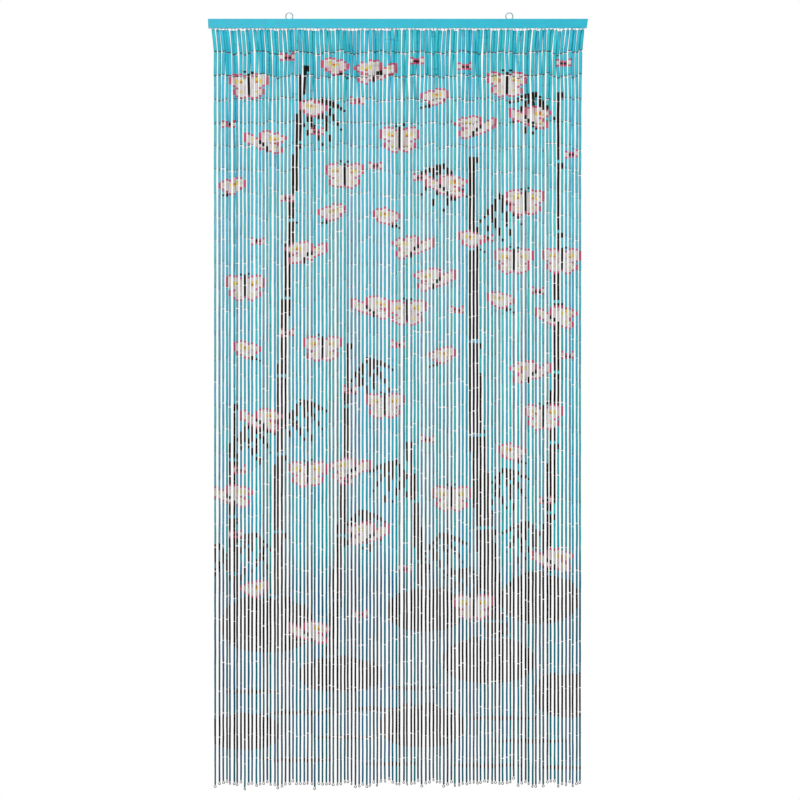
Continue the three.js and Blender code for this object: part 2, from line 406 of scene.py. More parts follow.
def colour_property(name, description, code):
    """A colour that the user may change."""
    return bpy.props.FloatVectorProperty(
        name=name, description=description, default=linear(code), size=4, min=0.0, max=1.0, subtype="COLOR"
    )


def number_property(name, description, default):
    """A number that the user may change."""
    return bpy.props.FloatProperty(name=name, description=description, default=default)


def share_property(name, description, default):
    """A share from 0 to 1 that the user may change."""
    return bpy.props.FloatProperty(
        name=name, description=description, default=default, min=0.0, max=1.0, subtype="FACTOR"
    )


class CurtainSizes(bpy.types.PropertyGroup):
    """Sizes of the tubes, wires and rings."""

    tube_top: length_property("Top tube", "Diameter of the tubes next to the rail", 9.0)
    tube_second: length_property("Second tube", "Added to the diameter of each strand's second tube", 0.8)
    tube_foot: length_property("Foot tube", "Diameter of the lowest tubes", 4.7)
    tube_spread: length_property("Tube spread", "How far a tube's diameter strays from its row's", 0.3)
    tube_shoulder: length_property("Shoulder", "Length of the rounded shoulder at a tube's cut end", 0.5)
    tube_bend: length_property("Tube bend", "How far a tube's middle strays from a straight line", 0.35)
    tube_sides: bpy.props.IntProperty(name="Tube sides", description="Faces round a tube", default=8, min=3)
    bore_share: share_property("Bore", "Bore of a tube as a share of its diameter", 0.42)
    lumpiness: share_property("Lumpiness", "How far the bamboo's surface rises and falls", 0.05)
    link_wire: length_property("Link wire", "Diameter of the wire of the eyes between tubes", 0.7)
    link_radius: length_property("Link radius", "Radius of the tubes' eyes, to the wire's middle", 0.95)
    staple_wire: length_property("Staple wire", "Diameter of the staples' wire under the rail", 1.0)
    staple_radius: length_property("Staple radius", "Radius of the staples under the rail", 1.7)
    ring_wire: length_property("Ring wire", "Diameter of the wire of the foot rings", 1.8)
    ring_diameter: length_property("Foot ring", "Diameter of a foot ring, outside", 7.5)
    ring_neck: length_property("Ring neck", "Wire that shows between a tube and its foot ring", 1.2)
    loop_wire: length_property("Loop wire", "Diameter of the wire of the hanging loops", 2.4)
    loop_centre: length_property("Loop centre", "Height of a loop's centre above the rail", 6.7)
    loop_leg: length_property("Loop leg", "Depth to which a loop's legs stand in the rail", 10.0)


class CurtainColours(bpy.types.PropertyGroup):
    """Colours of the paints, the bamboo and the wires."""

    rail_paint: colour_property("Rail paint", "Paint on the rail", "2ebbd3")
    ground_top: colour_property("Ground at the top", "Ground colour next to the rail", "37c8db")
    ground_upper: colour_property("Upper ground", "Ground colour a quarter of the way down", "5ac1d2")
    ground_middle: colour_property("Middle ground", "Ground colour half way down", "39aec0")
    ground_lower: colour_property("Lower ground", "Ground colour two thirds of the way down", "149eb0")
    ground_deep: colour_property("Deep ground", "Ground colour three quarters of the way down", "006982")
    ground_foot: colour_property("Ground at the foot", "Ground colour of the lowest tubes", "006a80")
    weathered: colour_property("Weathered ground", "Greyer tone that some tubes lean to", "6a8d98")
    hue_swing: bpy.props.FloatVectorProperty(
        name="Hue swing",
        description="How far red, green and blue stray on a greener strand",
        default=(-0.1, 0.2, -0.16),
    )
    rubbed_dark: colour_property("Rubbed dark paint", "Dark paint where it has gone grey", "5c5a5a")
    dark: colour_property("Dark paint", "Paint of the canes, their leaves and the stones", "0b0a0a")
    white: colour_property("White paint", "Paint of the wings", "dedddb")
    rose: colour_property("Rose paint", "Paint of the wing edges", "cd577a")
    yellow: colour_property("Yellow paint", "Paint of the wing spots", "e0d05a")
    orange: colour_property("Orange paint", "Paint of the smaller wing spots", "cf7a2c")
    bare_bamboo: colour_property("Bare bamboo", "Cut ends and chips, where no paint holds", "b79b6c")
    # The bore colour is also laid over the tube ends as painted shade at the joints
    bore: colour_property("Bore", "Inside of the tubes' cut ends", "2b2018")
    bright_wire: colour_property("Wire", "Clean drawn wire", "8f9395")
    loop_wire: colour_property("Loop wire", "Wire of the hanging loops, under a veil of paint", "6fb0bd")
    tarnish: colour_property("Tarnish", "Dull spots on the wire", "453d36")


class CurtainStage(bpy.types.PropertyGroup):
    """The camera, the lights and the floor."""

    lens: number_property("Lens", "Focal length in millimetres", 200.0)
    view_width: length_property("View width", "Width of the view at the curtain", 2105.3)
    view_right: length_property("View to the right", "View centre, right of the curtain's middle", 5.3)
    view_drop: length_property("View drop", "View centre, below the hooks", 1017.5)
    floor_gap: length_property("Floor gap", "Gap between the lowest ring and the floor", 60.0)
    floor_size: length_property("Floor size", "Side of the floor", 9000.0)
    key_power: number_property("Key light", "Watts of the main light", 132.0)
    fill_power: number_property("Fill light", "Watts of the side light", 30.0)
    back_power: number_property("Back light", "Watts of the light behind", 70.0)
    top_power: number_property("Top light", "Watts of the light above", 55.0)
    sky_light: number_property("Sky", "Strength of the even white light", 0.13)


def chance(strand, joint, use):
    """A steady random number from 0 to 1 for one joint of one strand and one use."""
    value = math.sin(strand * MIX_STRAND + joint * MIX_JOINT + use * MIX_USE) * MIX_SCALE
    return value - math.floor(value)


def spread(strand, joint, use):
    """The same number, spread evenly to both sides of zero."""
    return 2 * chance(strand, joint, use) - 1


def straying(strand, joint, use):
    """From -1 to 1: half of it swells and sinks along the rail, and half is the strand's own."""
    wave = math.sin(math.tau * (strand / WAVE_STRANDS + chance(0, joint, use)))
    return (wave + spread(strand, joint, use)) / 2


def batch_slip(strand, joint):
    """How far a joint hangs out of its row, because tubes come in batches of slightly different lengths."""
    if joint <= CLOSE_JOINTS:
        return 0
    batch = strand // BATCH_STRANDS
    along = math.pi * (joint - CLOSE_JOINTS) / (TUBES - CLOSE_JOINTS)
    bow = (2 * spread(batch, 0, FOR_BATCH_BOW) + spread(strand, 0, FOR_OWN_BOW)) / 3
    wave = spread(batch, 0, FOR_BATCH_WAVE) / 2
    return BATCH_SLIP * (bow * math.sin(along) + wave * math.sin(2 * along))


def strand_joints(strand):
    """The middles of a strand's joints from its hook down, TUBES + 1 of them."""
    y = ROW_OFFSET if strand % len(ROWS) else -ROW_OFFSET
    place = strand - (STRANDS - 1) / 2
    drift = DRIFT * spread(strand, 0, FOR_DRIFT)
    drop = HOOK_DROP_LEAST + HOOK_DROP_SPREAD * chance(strand, 0, FOR_HOOK_DROP) ** 2
    hung = RAIL_BOTTOM - drop + JOINT_GAP / 2
    joints = [Vector((place * HOOK_PITCH + drift + HOOK_SWAY * straying(strand, 0, FOR_SWAY), y, hung))]
    for joint in range(1, TUBES + 1):
        sway = SWAY + TOP_SWAY * math.exp((1 - joint) / TOP_SWAY_TUBES)
        hung -= TUBE_PITCH + TUBE_LENGTH_SPREAD * spread(strand, joint, FOR_LENGTH)
        x = place * STRAND_PITCH + drift + sway * straying(strand, joint, FOR_SWAY)
        slip = TUBE_SLIP * straying(strand, joint, FOR_SLIP) + batch_slip(strand, joint)
        joints.append(Vector((x, y, hung + slip)))
    return joints


def half_gap(strand, joint):
    """Half the gap between two tubes at a joint, as a vector; the heavy tubes near the rail nearly touch."""
    if joint in (0, TUBES):
        share = 1
    elif joint <= CLOSE_JOINTS:
        share = CLOSE_GAP + CLOSE_GAP_SPREAD * chance(strand, joint, FOR_GAP) ** 2
    else:
        share = LEAST_GAP + GAP_SPREAD * chance(strand, joint, FOR_GAP) ** 3
    return Vector((0, 0, JOINT_GAP / 2 * share))


def tube_radius(sizes, strand, tube):
    """The radius of one tube: thicker bamboo is used at the top."""
    share = (tube / (TUBES - 1)) ** TUBE_THINNING
    usual = sizes.tube_top + (sizes.tube_foot - sizes.tube_top) * share
    if tube == 1:
        usual += sizes.tube_second
    return (usual + sizes.tube_spread * spread(strand, tube, FOR_RADIUS)) / 2


def strands_of(node):
    """The strands that hang in a row."""
    return range(ROWS[node], STRANDS, len(ROWS))


def cane_middle(cane, drop):
    """The strand at a painted cane's middle at a drop below the rail."""
    share = (drop - cane.top) / (cane.foot - cane.top)
    straight = cane.top_strand + (cane.foot_strand - cane.top_strand) * share
    return straight + cane.bow * math.sin(math.pi * share)


class Picture:
    """The painted design: the paint on each strand, step by step down from the rail."""

    def __init__(self):
        self.steps = math.ceil((CURTAIN_DROP + TUBE_PITCH) / PAINT_STEP)
        self.paint = [[GROUND] * self.steps for _ in range(STRANDS)]

    def mark(self, strand, first, last, paint):
        """Paints one strand from one step up to another, as far as they lie on the curtain."""
        if 0 <= strand < STRANDS:
            for step in range(max(0, first), min(self.steps, last)):
                self.paint[strand][step] = paint

    def stroke(self, strand, top, foot, paint):
        """Paints one strand between two drops below the rail."""
        self.mark(strand, round(top / PAINT_STEP), round(foot / PAINT_STEP), paint)

    def dab(self, strand, middle, half):
        """Paints a dark stroke of some half height on one strand, a little off, as a hand does."""
        top = middle - half
        slip = BRUSH_SLIP * spread(strand, round(top / MM), FOR_BRUSH)
        self.stroke(strand, top + slip, middle + half + slip, DARK)

    def stamp(self, chart, strand, drop, mirrored=False):
        """Paints a charted motif with its middle at a strand and a drop; each strand of it slips a little."""
        for row, line in enumerate(chart):
            for column, mark in enumerate(reversed(line) if mirrored else line):
                if mark in CHART_PAINTS:
                    place = strand + column - len(line) // 2
                    slip = BRUSH_SLIP * spread(place, round(drop / MM), FOR_BRUSH)
                    top = drop + (row - len(chart) / 2) * CHART_ROW + slip
                    self.stroke(place, top, top + CHART_ROW, CHART_PAINTS[mark])

    def cane(self, cane):
        """Paints an upright cane that bows a little and has a gap and a ridge at each of its joints."""
        drop = cane.top
        while drop < cane.foot:
            share = (drop - cane.top) / (cane.foot - cane.top)
            middle = cane_middle(cane, drop)
            half = (cane.top_width + (cane.foot_width - cane.top_width) * share) / 2
            past_joint = (drop - cane.top) % cane.joint_pitch
            if past_joint > CANE_GAP:
                ridge = CANE_RIDGE if past_joint < 3 * CANE_GAP else 0
                step = round(drop / PAINT_STEP)
                for strand in range(math.ceil(middle - half), math.floor(middle + half + ridge) + 1):
                    self.mark(strand, step, step + 1, DARK)
            drop += PAINT_STEP

    def stone(self, strand, drop, half_width, half_height):
        """Paints a rounded stone, with a seam of ground colour that parts it from what lies behind."""
        for place in range(strand - half_width, strand + half_width + 1):
            share = (place - strand) / (half_width + 0.5)
            half = half_height * (1 - abs(share) ** STONE_SQUARENESS) ** (1 / STONE_SQUARENESS)
            top = drop - half * (1 + STONE_LUMPS * spread(place // 3, strand, FOR_STONE))
            self.stroke(place, top - STONE_SEAM, drop + half + STONE_SEAM, GROUND)
            self.stroke(place, top, drop + half, DARK)

    def ripple(self, strand, drop, half_width):
        """Paints a flat ripple that thins out to both sides."""
        for place in range(strand - half_width, strand + half_width + 1):
            self.dab(place, drop, RIPPLE_THICKNESS / 2 * (1 - 0.5 * abs(place - strand) / half_width))

    def leaf(self, strand, drop, side, reach, fall):
        """Paints a slender pointed leaf that reaches sideways over some strands and droops as it goes."""
        for part in range(reach + 1):
            share = (part + 0.5) / (reach + 1)
            slope = LEAF_DROOP * fall * share ** (LEAF_DROOP - 1) / ((reach + 1) * STRAND_PITCH)
            half = LEAF_THICKNESS / 2 * math.sin(math.pi * share**LEAF_POINT) * math.hypot(1, slope)
            self.dab(strand + side * part, drop + fall * share**LEAF_DROOP, half)

    def twig(self, strand, drop, side, reach, rise):
        """Paints a thin twig that climbs away from a cane, and leaves along it and at its tip."""
        half = TWIG_THICKNESS / 2 * math.hypot(1, rise / (reach * STRAND_PITCH))
        for part in range(reach + 1):
            self.dab(strand + side * part, drop - rise * (part / reach) ** TWIG_CURVE, half)
        for along, leaf_side, leaf_reach, fall in LEAF_SPRAY:
            part = round(reach * along)
            foot = drop - rise * along**TWIG_CURVE
            self.leaf(strand + side * part, foot, side * leaf_side, leaf_reach, fall)


def painted_picture():
    """The whole design: canes, their twigs and leaves, the stones at their feet, and what flies over all."""
    picture = Picture()
    for cane in CANES:
        picture.cane(cane)
    for number, drop, side, reach, rise in TWIGS:
        picture.twig(round(cane_middle(CANES[number], drop)), drop, side, reach, rise)
    for stone in STONES:
        picture.stone(*stone)
    for ripple in RIPPLES:
        picture.ripple(*ripple)
    for chart, strand, drop, mirrored in BUTTERFLIES:
        picture.stamp(chart, strand, drop, mirrored)
    for strand, drop in MOTHS:
        picture.stamp(MOTH, strand, drop)
    return picture


def bands_of(steps, top, foot):
    """The bands of paint on one tube, as [paint, share of the tube's length] from its top down."""
    first = max(0, round(top / PAINT_STEP))
    marks = steps[first : round(foot / PAINT_STEP)] or [GROUND]
    bands = [[marks[0], 0]]
    for mark in marks:
        if mark != bands[-1][0]:
            bands.append([mark, 0])
        bands[-1][1] += 1 / len(marks)
    shortest = SHORTEST_BAND / (foot - top)
    while len(bands) > 1 and (len(bands) > PAINTED_BANDS or min(share for _, share in bands) < shortest):
        least = min(range(len(bands)), key=lambda i: bands[i][1])
        sides = [i for i in (least - 1, least + 1) if 0 <= i < len(bands)]
        bands[min(sides, key=lambda i: bands[i][1])][1] += bands[least][1]
        del bands[least]
    return bands


def evened(bands, count):
    """The same bands cut into a set number, the longest cut first."""
    while len(bands) < count:
        longest = max(range(len(bands)), key=lambda i: bands[i][1])
        half = bands[longest][1] / 2
        bands[longest : longest + 1] = [[bands[longest][0], half], [bands[longest][0], half]]
    return bands


def cuts_of(bands):
    """Where one band ends and the next begins, as shares of the tube's length, six of them."""
    cuts = list(accumulate(share for _, share in bands[:-1]))
    return cuts + [1.0] * (PAINTED_BANDS - 1 - len(cuts))


def code_of(bands):
    """The paints of the bands as one whole number, the first band in the lowest place."""
    return sum(paint * PAINTS**place for place, (paint, _) in enumerate(bands))


class Tree:
    """A node tree, with short calls that add a node, fill its sockets and hand back an output."""

    COLUMNS = 12
    COLUMN_WIDTH = 210
    ROW_HEIGHT = 280

    def __init__(self, tree):
        self.tree = tree

    @classmethod
    def group(cls, name, kind, inputs, outputs):
        """A new group of geometry or shader nodes, with its named inputs and outputs."""
        made = cls(bpy.data.node_groups.new(name, kind + "NodeTree"))
        new_socket = made.tree.interface.new_socket
        for label, (socket_kind, default) in inputs.items():
            socket = new_socket(name=label, in_out="INPUT", socket_type="NodeSocket" + socket_kind)
            if default is not None:
                socket.default_value = default
        for label, socket_kind in outputs.items():
            new_socket(name=label, in_out="OUTPUT", socket_type="NodeSocket" + socket_kind)
        made.given = made.add("NodeGroupInput").outputs
        return made

    def results(self, **values):
        """Joins the group's outputs; an underscore in a name stands for a space."""
        self.add("NodeGroupOutput", {name.replace("_", " "): value for name, value in values.items()})
        return self.tree

    def add(self, kind, values=None, **settings):
        """Adds a node with its settings, and fills or joins its sockets, named or counted."""
        node = self.tree.nodes.new(kind)
        count = len(self.tree.nodes) - 1
        node.location = (count % self.COLUMNS * self.COLUMN_WIDTH, -(count // self.COLUMNS) * self.ROW_HEIGHT)
        for name, value in settings.items():
            setattr(node, name, value)
        for key, value in (values or {}).items():
            if isinstance(key, int):
                socket = node.inputs[key]
            else:
                socket = next(s for s in node.inputs if s.enabled and s.name == key)
            if isinstance(value, bpy.types.NodeSocket):
                self.tree.links.new(value, socket)
            else:
                socket.default_value = value
        return node

    def use(self, group, values=None):
        """Adds a group node of the tree's own kind."""
        return self.add(self.tree.bl_idname.replace("NodeTree", "NodeGroup"), values, node_tree=group)

    def math(self, operation, *values):
        return self.add("ShaderNodeMath", dict(enumerate(values)), operation=operation).outputs[0]

    def vector(self, operation, *values):
        return self.add("ShaderNodeVectorMath", dict(enumerate(values)), operation=operation).outputs[0]

    def plus(self, first, second):
        return self.math("ADD", first, second)

    def minus(self, first, second):
        return self.math("SUBTRACT", first, second)

    def times(self, first, second):
        return self.math("MULTIPLY", first, second)

    def over(self, first, second):
        return self.math("DIVIDE", first, second)

    def clamped(self, value, low, high):
        return self.math("MINIMUM", self.math("MAXIMUM", value, low), high)

    def distance(self, first, second):
        values = {0: first, 1: second}
        return self.add("ShaderNodeVectorMath", values, operation="DISTANCE").outputs["Value"]

    def ranged(self, value, low, high, new_low=0.0, new_high=1.0):
        """A value's place between two others, mapped evenly onto a new range and held at its ends."""
        return self.add("ShaderNodeMapRange", {0: value, 1: low, 2: high, 3: new_low, 4: new_high}).outputs[0]

    def noise(self, vector, scale, detail, values=None):
        values = {"Vector": vector, "Scale": scale, "Detail": detail, **(values or {})}
        return self.add("ShaderNodeTexNoise", values).outputs[0]

    def mixed(self, factor, first, second):
        """A mix of two colours, in a shader tree."""
        values = {"Factor": factor, "A": first, "B": second}
        return self.add("ShaderNodeMix", values, data_type="RGBA").outputs[2]

    def object_place(self):
        return self.add("ShaderNodeTexCoord").outputs["Object"]

    def surface_value(self, name, output="Fac"):
        """A value that is stored on the surface, in a shader tree."""
        return self.add("ShaderNodeAttribute", attribute_name=name).outputs[output]

    def scaled(self, vector, factor):
        return self.add("ShaderNodeVectorMath", {0: vector, 3: factor}, operation="SCALE").outputs[0]

    def split(self, vector):
        return self.add("ShaderNodeSeparateXYZ", {0: vector}).outputs

    def joined(self, x=0.0, y=0.0, z=0.0):
        return self.add("ShaderNodeCombineXYZ", {0: x, 1: y, 2: z}).outputs[0]

    def named(self, name, kind="FLOAT"):
        """A named attribute, in a geometry tree."""
        return self.add("GeometryNodeInputNamedAttribute", {"Name": name}, data_type=kind).outputs[0]

    def stored(self, geometry, name, value, kind="FLOAT", domain="POINT"):
        """Geometry with a value stored on it by name."""
        values = {"Geometry": geometry, "Name": name, "Value": value}
        return self.add("GeometryNodeStoreNamedAttribute", values, data_type=kind, domain=domain).outputs[0]

    def chosen(self, switch, if_false, if_true, kind="FLOAT"):
        values = {"Switch": switch, "False": if_false, "True": if_true}
        return self.add("GeometryNodeSwitch", values, input_type=kind).outputs[0]

    def finished(self, mesh, material, smooth=True):
        """A mesh shaded and given its material, without the values that only its making needs."""
        mesh = self.add("GeometryNodeSetShadeSmooth", {"Geometry": mesh, "Shade Smooth": smooth}).outputs[0]
        values = {"Geometry": mesh, "Name": "make_*"}
        mesh = self.add("GeometryNodeRemoveAttribute", values, pattern_mode="WILDCARD").outputs[0]
        return self.add("GeometryNodeSetMaterial", {"Geometry": mesh, "Material": material}).outputs[0]


def tube_blank_tree():
    """One tube blank, 1 long and 2 across, with numbered rings, and in its cut ends a ring for the bore."""
    inputs = {"Sides": ("Int", 8), "Bands": ("Int", PLAIN_BANDS)}
    make = Tree.group("Tube blank", "Geometry", inputs, {"Blank": "Geometry"})
    rings = make.plus(make.given["Bands"], 2)
    values = {"Vertices": make.given["Sides"], "Side Segments": rings, "Fill Segments": 2}
    blank = make.add("GeometryNodeMeshCylinder", {**values, "Radius": 1.0, "Depth": 1.0})
    x, y, z = make.split(make.add("GeometryNodeInputPosition").outputs[0])
    below_top = make.times(make.minus(0.5, z), rings)
    outward = make.vector("NORMALIZE", make.joined(x, y))
    from_axis = make.distance(make.joined(x, y), (0.0, 0.0, 0.0))
    band = make.minus(make.math("FLOOR", below_top), 1)
    band = make.clamped(band, 0, make.minus(make.given["Bands"], 1))
    cut_face = make.math("GREATER_THAN", make.math("ABSOLUTE", z), 0.499)
    mesh = make.stored(blank.outputs["Mesh"], "make_ring", make.math("ROUND", below_top))
    mesh = make.stored(mesh, "make_ring_from_foot", make.math("ROUND", make.minus(rings, below_top)))
    mesh = make.stored(mesh, "make_rim", make.math("GREATER_THAN", from_axis, 0.75))
    mesh = make.stored(mesh, "make_outward", outward, "FLOAT_VECTOR")
    mesh = make.stored(mesh, "make_band", band, domain="FACE")
    mesh = make.stored(mesh, "cut_face", cut_face, domain="FACE")
    mesh = make.stored(mesh, "make_flat", blank.outputs["UV Map"], "FLOAT2", "CORNER")
    return make.results(Blank=mesh)


def tube_tree():
    """Bamboo tubes on points that know their ends, radius, bands of paint and cell of the map."""
    make = Tree.group(
        "Bamboo tubes",
        "Geometry",
        {
            "Tubes": ("Geometry", None),
            "Sides": ("Int", 8),
            "Shoulder": ("Float", 0.5 * MM),
            "Bore": ("Float", 0.42),
            "Lumpiness": ("Float", 0.05),
            "Seed": ("Float", TUBE_SEED),
            "Cells across": ("Float", 1.0),
            "Cells down": ("Float", 1.0),
            "Material": ("Material", None),
        },
        {"Tubes": "Geometry"},
    )
    given = make.given
    blank = tube_blank_tree()
    painted = make.math("GREATER_THAN", make.named("make_banded"), 0.5)
    values = {"Geometry": given["Tubes"], "Selection": painted}
    parts = make.add("GeometryNodeSeparateGeometry", values).outputs
    copies = []
    for points, bands in ((parts[0], PAINTED_BANDS), (parts[1], PLAIN_BANDS)):
        one = make.use(blank, {"Sides": given["Sides"], "Bands": bands}).outputs[0]
        values = {"Points": points, "Instance": one}
        copies.append(make.add("GeometryNodeInstanceOnPoints", values).outputs[0])
    both = make.add("GeometryNodeJoinGeometry")
    for copy in copies:
        make.tree.links.new(copy, both.inputs[0])
    mesh = make.add("GeometryNodeRealizeInstances", {"Geometry": both.outputs[0]}).outputs[0]

    top, foot = make.named("make_top", "FLOAT_VECTOR"), make.named("make_foot", "FLOAT_VECTOR")
    ring, from_foot = make.named("make_ring"), make.named("make_ring_from_foot")
    length = make.distance(top, foot)
    shoulder = make.over(given["Shoulder"], length)
    cuts = [*make.split(make.named("make_upper_cuts", "FLOAT_VECTOR"))]
    cuts += [*make.split(make.named("make_lower_cuts", "FLOAT_VECTOR"))]
    along = make.add("GeometryNodeIndexSwitch", {0: ring, 1: 0.0}, data_type="FLOAT")
    while len(along.index_switch_items) < 2 + len(cuts):
        along.index_switch_items.new()
    for number, value in enumerate([shoulder, *cuts], start=2):
        make.tree.links.new(value, along.inputs[number])
    next_to_foot = make.math("LESS_THAN", from_foot, 1.5)
    before_foot = make.chosen(next_to_foot, along.outputs[0], make.minus(1.0, shoulder))
    at_foot = make.math("LESS_THAN", from_foot, 0.5)
    share = make.chosen(at_foot, before_foot, 1.0)

    at_end = make.math("LESS_THAN", make.math("MINIMUM", ring, from_foot), 0.5)
    rim = make.named("make_rim")
    radial = make.chosen(at_end, 1.0, make.chosen(rim, given["Bore"], TUBE_RIM_SHARE))
    dished = make.times(at_end, make.minus(1.0, rim))
    dish = make.times(dished, make.times(shoulder, TUBE_DISH))
    share = make.plus(share, make.times(dish, make.chosen(at_foot, 1.0, -1.0)))

    across = make.scaled(make.named("make_outward", "FLOAT_VECTOR"), make.named("make_radius"))
    line = make.add("ShaderNodeMix", {"Factor": share, "A": top, "B": foot}, data_type="VECTOR").outputs[1]
    place = make.vector("ADD", line, across)
    values = {"Vector": place, "W": given["Seed"], "Scale": LUMPS_PER_METRE, "Detail": 1.0}
    noise = make.add("ShaderNodeTexNoise", values, noise_dimensions="4D").outputs[0]
    swell = make.times(make.times(make.minus(noise, 0.5), 4.0), given["Lumpiness"])
    reach = make.times(radial, make.plus(1.0, swell))
    bow = make.math("SINE", make.times(share, math.pi))
    bend = make.scaled(make.named("make_bend", "FLOAT_VECTOR"), bow)
    place = make.vector("ADD", make.vector("ADD", line, bend), make.scaled(across, reach))
    mesh = make.add("GeometryNodeSetPosition", {"Geometry": mesh, "Position": place}).outputs[0]

    from_top = make.times(share, length)
    ends = make.joined(from_top, make.minus(length, from_top), 0.0)
    mesh = make.stored(mesh, "ends", ends, "FLOAT_VECTOR")
    place_value = make.math("POWER", float(PAINTS), make.named("make_band"))
    digits = make.math("FLOOR", make.over(make.plus(make.named("make_code"), 0.5), place_value))
    mesh = make.stored(mesh, "paint", make.math("FLOORED_MODULO", digits, float(PAINTS)), domain="FACE")

    u, v, _ = make.split(make.named("make_flat", "FLOAT_VECTOR"))
    cell_u, cell_v, _ = make.split(make.named("make_cell", "FLOAT_VECTOR"))
    sides_v = make.ranged(v, 0.5, 1.0, *MAP_SIDES)
    ends_v = make.ranged(v, 0.0, 0.5, *MAP_ENDS)
    cell_part_v = make.chosen(make.named("cut_face"), sides_v, ends_v)
    cell_part_u = make.ranged(u, 0.0, 1.0, *MAP_ACROSS)
    on_map = make.joined(
        make.plus(cell_u, make.over(cell_part_u, given["Cells across"])),
        make.plus(cell_v, make.over(cell_part_v, given["Cells down"])),
    )
    mesh = make.stored(mesh, "OFBake", on_map, "FLOAT2", "CORNER")

    smooth = make.math("LESS_THAN", make.named("cut_face"), 0.5)
    return make.results(Tubes=make.finished(mesh, given["Material"], smooth))


def wire_tree():
    """Wire eyes on points that know how each is turned and stretched: a straight neck, then a round bend."""
    make = Tree.group(
        "Wire eyes",
        "Geometry",
        {
            "Places": ("Geometry", None),
            "Radius": ("Float", 1 * MM),
            "Neck": ("Float", 0.0),
            "Sweep": ("Float", math.tau),
            "Steps": ("Int", 8),
            "Wire": ("Float", 0.7 * MM),
            "Wire sides": ("Int", 4),
            "Material": ("Material", None),
        },
        {"Eyes": "Geometry"},
    )
    given = make.given
    line = make.add("GeometryNodeCurvePrimitiveLine", {"End": (0.0, 0.0, 1.0)}).outputs[0]
    line = make.add("GeometryNodeResampleCurve", {"Curve": line, "Count": given["Steps"]}).outputs[0]
    along = make.add("GeometryNodeSplineParameter").outputs["Factor"]
    bend_length = make.times(given["Radius"], given["Sweep"])
    neck_share = make.over(given["Neck"], make.plus(given["Neck"], bend_length))
    round_share = make.over(make.minus(along, neck_share), make.minus(1.0, neck_share))
    angle = make.times(make.math("MAXIMUM", round_share, 0.0), given["Sweep"])
    straight = make.math("MAXIMUM", make.minus(neck_share, along), 0.0)
    rise = make.times(straight, make.plus(given["Neck"], bend_length))
    x = make.times(make.math("SINE", angle), given["Radius"])
    below = make.times(make.minus(make.math("COSINE", angle), 1.0), given["Radius"])
    place = make.joined(x, 0.0, make.plus(below, rise))
    eye = make.add("GeometryNodeSetPosition", {"Geometry": line, "Position": place}).outputs[0]
    turn = make.add("FunctionNodeEulerToRotation", {0: make.named("make_turn", "FLOAT_VECTOR")}).outputs[0]
    stretch = make.named("make_stretch", "FLOAT_VECTOR")
    values = {"Points": given["Places"], "Instance": eye, "Rotation": turn, "Scale": stretch}
    copies = make.add("GeometryNodeInstanceOnPoints", values).outputs[0]
    curves = make.add("GeometryNodeRealizeInstances", {"Geometry": copies}).outputs[0]
    values = {"Resolution": given["Wire sides"], "Radius": make.over(given["Wire"], 2)}
    section = make.add("GeometryNodeCurvePrimitiveCircle", values).outputs[0]
    values = {"Curve": curves, "Profile Curve": section, "Fill Caps": True}
    mesh = make.add("GeometryNodeCurveToMesh", values).outputs[0]
    return make.results(Eyes=make.finished(mesh, given["Material"]))


def grain_group():
    """Streaks of wood grain; the scale is small along the grain."""
    inputs = {"Vector": ("Vector", None), "Scale": ("Vector", (500.0, 500.0, 30.0))}
    make = Tree.group("Wood grain", "Shader", inputs, {"Grain": "Float"})
    stretched = make.vector("MULTIPLY", make.given["Vector"], make.given["Scale"])
    return make.results(Grain=make.noise(stretched, 1.0, 3.0, {"Roughness": 0.6}))


def brushed_paint_group(grain):
    """Brushed paint over wood: streaks and pools in its colour, its surface and its gloss."""
    make = Tree.group(
        "Brushed paint",
        "Shader",
        {
            "Vector": ("Vector", None),
            "Paint": ("Color", None),
            "Grain scale": ("Vector", (500.0, 500.0, 30.0)),
            "Unevenness": ("Float", 0.2),
            "Roughness": ("Float", 0.45),
        },
        {"Colour": "Color", "Height": "Float", "Roughness": "Float"},
    )
    given = make.given
    streaks = make.use(grain, {"Vector": given["Vector"], "Scale": given["Grain scale"]}).outputs[0]
    pools = make.noise(given["Vector"], POOLS_PER_METRE, 2.0)
    swing = make.minus(make.plus(streaks, pools), 1.0)
    value = make.plus(1.0, make.times(swing, given["Unevenness"]))
    colour = make.scaled(given["Paint"], value)
    roughness = make.plus(given["Roughness"], make.times(swing, 0.2))
    return make.results(Colour=colour, Height=streaks, Roughness=roughness)


def chips_group():
    """Small chips where the paint is gone, more of them with a larger amount."""
    inputs = {"Vector": ("Vector", None), "Chips per metre": ("Float", 400.0), "Amount": ("Float", 0.3)}
    make = Tree.group("Paint chips", "Shader", inputs, {"Chips": "Float"})
    given = make.given
    noise = make.noise(given["Vector"], given["Chips per metre"], 3.0)
    edge = make.minus(CHIP_START, make.times(given["Amount"], CHIP_LOWERING))
    over = make.times(make.minus(noise, edge), CHIP_SHARPNESS)
    return make.results(Chips=make.clamped(over, 0.0, 1.0))


def drawn_wire_group():
    """Drawn steel wire with dull spots."""
    make = Tree.group(
        "Drawn wire",
        "Shader",
        {
            "Vector": ("Vector", None),
            "Wire": ("Color", None),
            "Tarnish": ("Color", None),
            "Amount": ("Float", 0.5),
        },
        {"Colour": "Color", "Roughness": "Float", "Height": "Float"},
    )
    given = make.given
    spots = make.noise(given["Vector"], WIRE_SPOTS_PER_METRE, 4.0)
    dull = make.times(make.minus(spots, TARNISH_START), TARNISH_SHARPNESS)
    dull = make.times(make.clamped(dull, 0.0, 1.0), given["Amount"])
    colour = make.mixed(dull, given["Wire"], given["Tarnish"])
    roughness = make.plus(WIRE_ROUGHNESS, make.times(dull, TARNISH_ROUGHNESS))
    return make.results(Colour=colour, Roughness=roughness, Height=spots)


